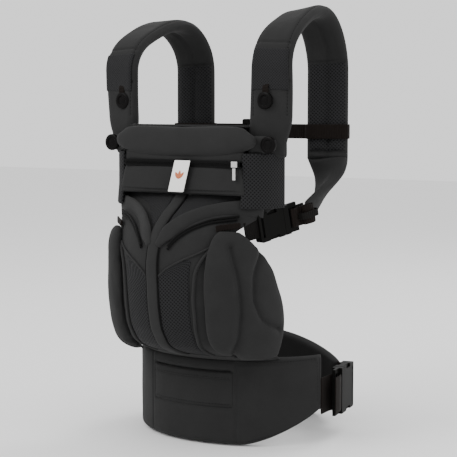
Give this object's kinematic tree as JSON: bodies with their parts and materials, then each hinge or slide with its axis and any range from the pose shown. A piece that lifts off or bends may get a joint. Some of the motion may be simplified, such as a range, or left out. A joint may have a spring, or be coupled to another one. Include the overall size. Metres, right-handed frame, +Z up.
{
  "type": "soft structured baby carrier",
  "caption": "Soft baby carrier with a padded waist belt, bucket seat, fold-down headrest, looped shoulder straps and side-release buckles.",
  "frame": {"origin": "under the middle of the carrier's overall box, on the surface that it stands on", "axes": "+Z up, from the waist belt to the top of the shoulder straps; -Y the way the front panel faces; +X towards the side with the waist buckle"},
  "size_m": [0.3008, 0.3475, 0.5844],
  "materials": {
    "cotton": "matte charcoal woven cotton",
    "mesh": "matte black air mesh",
    "webbing": "dull brown-black woven webbing",
    "plastic": "satin dark moulded plastic",
    "snap": "satin moulded plastic",
    "metal": "polished nickel",
    "label": "white woven label"
  },
  "bodies": {
    "carrier": {"anchor_webbing_left": "webbing", "anchor_webbing_right": "webbing", "belt_front": "cotton", "belt_pocket": "cotton", "belt_side_left": "cotton", "belt_wing_left": "cotton", "belt_wing_right": "cotton", "hood_pouch": "cotton", "label": "label", "seat_panel": "cotton", "side_buckle_left_female": "plastic", "side_buckle_right_female": "plastic", "side_mesh_left": "mesh", "side_mesh_right": "mesh", "strap_end_left": "cotton", "strap_end_right": "cotton", "strap_left": "cotton", "strap_mesh_left": "mesh", "strap_mesh_right": "mesh", "strap_right": "cotton", "strap_snap_left": "snap", "strap_snap_right": "snap", "strap_webbing_left": "webbing", "strap_webbing_right": "webbing", "thigh_pad_left": "cotton", "thigh_pad_right": "cotton", "upper_panel": "cotton", "waist_buckle_female": "plastic", "waist_webbing_left": "webbing", "waist_webbing_right": "webbing", "yoke_arm_left": "cotton", "yoke_arm_right": "cotton", "yoke_stem": "cotton", "zip_tape": "webbing"},
    "headrest": {"head_pillow": "cotton", "head_tab_left": "cotton", "head_tab_right": "cotton", "tab_snap_left": "snap", "tab_snap_right": "snap"},
    "zip_slider": {"zip_slider": "metal"},
    "zip_pull": {"zip_pull": "metal"},
    "chest_rig": {"chest_loop_left": "webbing", "chest_loop_right": "webbing", "chest_webbing_left": "webbing", "chest_webbing_right": "webbing", "chest_buckle_female": "plastic"},
    "side_buckle_left_male": {"side_buckle_left_male": "plastic", "tail_roll_left": "webbing"},
    "side_buckle_left_prong_low": {"side_buckle_left_prong_low": "plastic"},
    "side_buckle_left_prong_high": {"side_buckle_left_prong_high": "plastic"},
    "side_buckle_right_male": {"side_buckle_right_male": "plastic", "tail_roll_right": "webbing"},
    "side_buckle_right_prong_low": {"side_buckle_right_prong_low": "plastic"},
    "side_buckle_right_prong_high": {"side_buckle_right_prong_high": "plastic"},
    "waist_buckle_male": {"waist_buckle_male": "plastic"},
    "waist_buckle_prong_low": {"waist_buckle_prong_low": "plastic"},
    "waist_buckle_prong_high": {"waist_buckle_prong_high": "plastic"},
    "chest_buckle_male": {"chest_buckle_male": "plastic"},
    "chest_buckle_prong_low": {"chest_buckle_prong_low": "plastic"},
    "chest_buckle_prong_high": {"chest_buckle_prong_high": "plastic"}
  },
  "joints": [
    {"name": "headrest_fold", "type": "hinge", "parent": "carrier", "child": "headrest", "pos_m": [0, -0.092, 0.424], "axis": [-1, 0, 0], "range_deg": [0, 110]},
    {"name": "zip_slide", "type": "slide", "parent": "carrier", "child": "zip_slider", "axis": [-1, 0, 0], "range_m": [0, 0.165]},
    {"name": "zip_pull_swing", "type": "hinge", "parent": "zip_slider", "child": "zip_pull", "pos_m": [0.088, -0.11555, 0.3694], "axis": [-1, 0, 0], "range_deg": [0, 85]},
    {"name": "chest_strap_height", "type": "slide", "parent": "carrier", "child": "chest_rig", "axis": [0, 0, 1], "range_m": [-0.027, 0.07]},
    {"name": "side_buckle_left_release", "type": "slide", "parent": "carrier", "child": "side_buckle_left_male", "axis": [-0.3008, 0.9324, 0.2005], "range_m": [0, 0.026], "deforming": ["side_buckle_left_prong_low", "side_buckle_left_prong_high"]},
    {"name": "side_buckle_left_prong_low_squeeze", "type": "hinge", "parent": "side_buckle_left_male", "child": "side_buckle_left_prong_low", "pos_m": [-0.11818, -0.0484, 0.29196], "axis": [-0.9518, -0.3068, -0.0012], "range_deg": [0, 6], "stiffness_Nm_per_rad": 0.05},
    {"name": "side_buckle_left_prong_high_squeeze", "type": "hinge", "parent": "side_buckle_left_male", "child": "side_buckle_left_prong_high", "pos_m": [-0.11722, -0.05146, 0.30764], "axis": [-0.9518, -0.3068, -0.0012], "range_deg": [-6, 0], "stiffness_Nm_per_rad": 0.05},
    {"name": "side_buckle_right_release", "type": "slide", "parent": "carrier", "child": "side_buckle_right_male", "axis": [0.3008, 0.9324, 0.2005], "range_m": [0, 0.026], "deforming": ["side_buckle_right_prong_low", "side_buckle_right_prong_high"]},
    {"name": "side_buckle_right_prong_low_squeeze", "type": "hinge", "parent": "side_buckle_right_male", "child": "side_buckle_right_prong_low", "pos_m": [0.11722, -0.05146, 0.30764], "axis": [0.9518, -0.3068, -0.0012], "range_deg": [0, 6], "stiffness_Nm_per_rad": 0.05},
    {"name": "side_buckle_right_prong_high_squeeze", "type": "hinge", "parent": "side_buckle_right_male", "child": "side_buckle_right_prong_high", "pos_m": [0.11818, -0.0484, 0.29196], "axis": [0.9518, -0.3068, -0.0012], "range_deg": [-6, 0], "stiffness_Nm_per_rad": 0.05},
    {"name": "waist_buckle_release", "type": "slide", "parent": "carrier", "child": "waist_buckle_male", "axis": [0.2399, -0.9708, 0], "range_m": [0, 0.024], "deforming": ["waist_buckle_prong_low", "waist_buckle_prong_high"]},
    {"name": "waist_buckle_prong_low_squeeze", "type": "hinge", "parent": "waist_buckle_male", "child": "waist_buckle_prong_low", "pos_m": [0.14156, 0.06417, 0.046], "axis": [0.9708, 0.2399, 0], "range_deg": [0, 6], "stiffness_Nm_per_rad": 0.05},
    {"name": "waist_buckle_prong_high_squeeze", "type": "hinge", "parent": "waist_buckle_male", "child": "waist_buckle_prong_high", "pos_m": [0.14156, 0.06417, 0.078], "axis": [0.9708, 0.2399, 0], "range_deg": [-6, 0], "stiffness_Nm_per_rad": 0.05},
    {"name": "chest_buckle_release", "type": "slide", "parent": "chest_rig", "child": "chest_buckle_male", "axis": [1, 0, 0], "range_m": [0, 0.02], "deforming": ["chest_buckle_prong_low", "chest_buckle_prong_high"]},
    {"name": "chest_buckle_prong_low_squeeze", "type": "hinge", "parent": "chest_buckle_male", "child": "chest_buckle_prong_low", "pos_m": [0.005, 0.08, 0.4066], "axis": [0, 1, 0], "range_deg": [0, 6], "stiffness_Nm_per_rad": 0.05},
    {"name": "chest_buckle_prong_high_squeeze", "type": "hinge", "parent": "chest_buckle_male", "child": "chest_buckle_prong_high", "pos_m": [0.005, 0.08, 0.4194], "axis": [0, 1, 0], "range_deg": [-6, 0], "stiffness_Nm_per_rad": 0.05}
  ],
  "couplings": [
    {"joint": "side_buckle_left_prong_low_squeeze", "follows": "side_buckle_left_prong_high_squeeze", "ratio": -1},
    {"joint": "side_buckle_right_prong_low_squeeze", "follows": "side_buckle_right_prong_high_squeeze", "ratio": -1},
    {"joint": "waist_buckle_prong_low_squeeze", "follows": "waist_buckle_prong_high_squeeze", "ratio": -1},
    {"joint": "chest_buckle_prong_low_squeeze", "follows": "chest_buckle_prong_high_squeeze", "ratio": -1}
  ]
}
